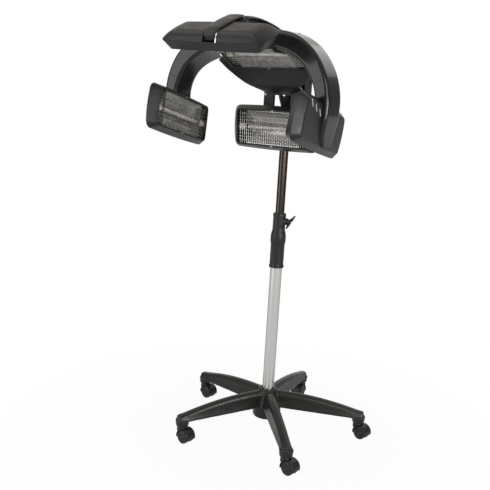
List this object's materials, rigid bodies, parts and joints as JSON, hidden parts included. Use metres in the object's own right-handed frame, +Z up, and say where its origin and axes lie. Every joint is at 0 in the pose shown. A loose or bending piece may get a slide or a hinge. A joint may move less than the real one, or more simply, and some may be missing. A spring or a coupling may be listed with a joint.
{
  "type": "hair color processor",
  "caption": "Rolling salon hair color processor: star base on casters, telescopic mast with clamp, and a head of hinged infrared lamp panels on curved arms around a client's head.",
  "frame": {"origin": "on the floor at the middle of the footprint's bounding box", "axes": "+Z up; -Y is the front, where the visor is; +X is the machine's right in a front view"},
  "size_m": [0.5926, 0.6924, 1.1954],
  "materials": {
    "nylon": "black moulded nylon, satin",
    "satin_plastic": "black moulded plastic, satin",
    "gloss_plastic": "black moulded plastic, glossy",
    "chrome": "bright chromed steel tube",
    "dark_chrome": "dark nickel-chromed steel tube",
    "steel": "plain zinc-plated steel",
    "reflector": "bright rolled aluminium sheet",
    "quartz": "clear quartz with white ceramic ends"
  },
  "bodies": {
    "stand": {"star_base": "nylon", "lower_tube": "chrome", "clamp_collar": "satin_plastic"},
    "clamp_lever": {"clamp_lever": "satin_plastic"},
    "mast": {"upper_tube": "dark_chrome", "guide_bush": "nylon"},
    "head": {"mast_socket": "satin_plastic", "neck_bracket": "satin_plastic", "neck_housing": "satin_plastic", "spine_beam": "steel", "spine_cover": "satin_plastic", "arm_bridge": "gloss_plastic", "left_arm_pin": "steel", "right_arm_pin": "steel", "visor_pin": "steel", "rear_lamp_shell": "satin_plastic", "rear_lamp_bezel": "satin_plastic", "rear_lamp_grille": "steel", "rear_lamp_reflector": "reflector", "rear_lamp_quartz_tube": "quartz", "crown_lamp_shell": "satin_plastic", "crown_lamp_bezel": "satin_plastic", "crown_lamp_grille": "steel", "crown_lamp_reflector": "reflector", "crown_lamp_quartz_tube": "quartz", "control_box": "satin_plastic", "power_inlet": "nylon"},
    "left_arm": {"left_arm": "gloss_plastic"},
    "right_arm": {"right_arm": "gloss_plastic"},
    "left_lamp": {"left_arm_end": "gloss_plastic", "left_lamp_shell": "satin_plastic", "left_lamp_bezel": "satin_plastic", "left_lamp_grille": "steel", "left_lamp_reflector": "reflector", "left_lamp_quartz_tube": "quartz"},
    "right_lamp": {"right_arm_end": "gloss_plastic", "right_lamp_shell": "satin_plastic", "right_lamp_bezel": "satin_plastic", "right_lamp_grille": "steel", "right_lamp_reflector": "reflector", "right_lamp_quartz_tube": "quartz"},
    "visor": {"visor_shell": "satin_plastic", "visor_bezel": "satin_plastic", "visor_grille": "steel", "visor_reflector": "reflector", "visor_quartz_tube": "quartz", "visor_strap": "gloss_plastic"},
    "timer_knob": {"timer_knob": "gloss_plastic"},
    "power_switch": {"power_switch": "gloss_plastic"},
    "caster_1": {"caster_hood_1": "nylon"},
    "wheels_1": {"caster_wheels_1": "nylon"},
    "caster_2": {"caster_hood_2": "nylon"},
    "wheels_2": {"caster_wheels_2": "nylon"},
    "caster_3": {"caster_hood_3": "nylon"},
    "wheels_3": {"caster_wheels_3": "nylon"},
    "caster_4": {"caster_hood_4": "nylon"},
    "wheels_4": {"caster_wheels_4": "nylon"},
    "caster_5": {"caster_hood_5": "nylon"},
    "wheels_5": {"caster_wheels_5": "nylon"}
  },
  "joints": [
    {"name": "caster_1_swivel", "type": "hinge", "parent": "stand", "child": "caster_1", "pos_m": [0.18522, -0.15987, 0.05], "axis": [0, 0, 1], "continuous": true},
    {"name": "wheels_1_roll", "type": "hinge", "parent": "caster_1", "child": "wheels_1", "pos_m": [0.20097, -0.16265, 0.01983], "axis": [0.1736, 0.9848, 0], "continuous": true},
    {"name": "caster_2_swivel", "type": "hinge", "parent": "stand", "child": "caster_2", "pos_m": [0.25414, 0.1644, 0.05], "axis": [0, 0, 1], "continuous": true},
    {"name": "wheels_2_roll", "type": "hinge", "parent": "caster_2", "child": "wheels_2", "pos_m": [0.26979, 0.16107, 0.01983], "axis": [0.2079, 0.9781, 0], "continuous": true},
    {"name": "caster_3_swivel", "type": "hinge", "parent": "stand", "child": "caster_3", "pos_m": [-0.03296, 0.33015, 0.05], "axis": [0, 0, 1], "continuous": true},
    {"name": "wheels_3_roll", "type": "hinge", "parent": "caster_3", "child": "wheels_3", "pos_m": [-0.03296, 0.31415, 0.01983], "axis": [1, 0, 0], "continuous": true},
    {"name": "caster_4_swivel", "type": "hinge", "parent": "stand", "child": "caster_4", "pos_m": [-0.27932, 0.10833, 0.05], "axis": [0, 0, 1], "continuous": true},
    {"name": "wheels_4_roll", "type": "hinge", "parent": "caster_4", "child": "wheels_4", "pos_m": [-0.26356, 0.10555, 0.01983], "axis": [0.1736, 0.9848, 0], "continuous": true},
    {"name": "caster_5_swivel", "type": "hinge", "parent": "stand", "child": "caster_5", "pos_m": [-0.14448, -0.19452, 0.05], "axis": [0, 0, 1], "continuous": true},
    {"name": "wheels_5_roll", "type": "hinge", "parent": "caster_5", "child": "wheels_5", "pos_m": [-0.12872, -0.1973, 0.01983], "axis": [0.1736, 0.9848, 0], "continuous": true},
    {"name": "clamp_turn", "type": "hinge", "parent": "stand", "child": "clamp_lever", "pos_m": [-0.00348, 0.0497, 0.64733], "axis": [1, 0, 0], "range_deg": [-90, 90]},
    {"name": "mast_slide", "type": "slide", "parent": "stand", "child": "mast", "axis": [0, 0, 1], "range_m": [-0.19, 0.24]},
    {"name": "head_turn", "type": "hinge", "parent": "mast", "child": "head", "pos_m": [-0.00348, 0.0497, 0.97133], "axis": [0, 0, 1], "range_deg": [-170, 170]},
    {"name": "left_arm_swing", "type": "hinge", "parent": "head", "child": "left_arm", "pos_m": [-0.09148, -0.1718, 1.15133], "axis": [0, 1, 0], "range_deg": [0, 25]},
    {"name": "left_lamp_turn", "type": "hinge", "parent": "left_arm", "child": "left_lamp", "pos_m": [-0.22267, -0.1573, 1.04365], "axis": [0.515, 0, 0.8572], "range_deg": [-25, 25]},
    {"name": "right_arm_swing", "type": "hinge", "parent": "head", "child": "right_arm", "pos_m": [0.08452, -0.1718, 1.15133], "axis": [0, -1, 0], "range_deg": [0, 25]},
    {"name": "right_lamp_turn", "type": "hinge", "parent": "right_arm", "child": "right_lamp", "pos_m": [0.21572, -0.1573, 1.04365], "axis": [-0.515, 0, 0.8572], "range_deg": [-25, 25]},
    {"name": "visor_tilt", "type": "hinge", "parent": "head", "child": "visor", "pos_m": [-0.00348, -0.2243, 1.17833], "axis": [-1, 0, 0], "range_deg": [-10, 40]},
    {"name": "timer_turn", "type": "hinge", "parent": "head", "child": "timer_knob", "pos_m": [-0.02548, 0.11, 1.09033], "axis": [0, -1, 0], "range_deg": [0, 300]},
    {"name": "switch_rock", "type": "hinge", "parent": "head", "child": "power_switch", "pos_m": [0.02052, 0.1035, 1.09033], "axis": [1, 0, 0], "range_deg": [-7, 7]}
  ]
}
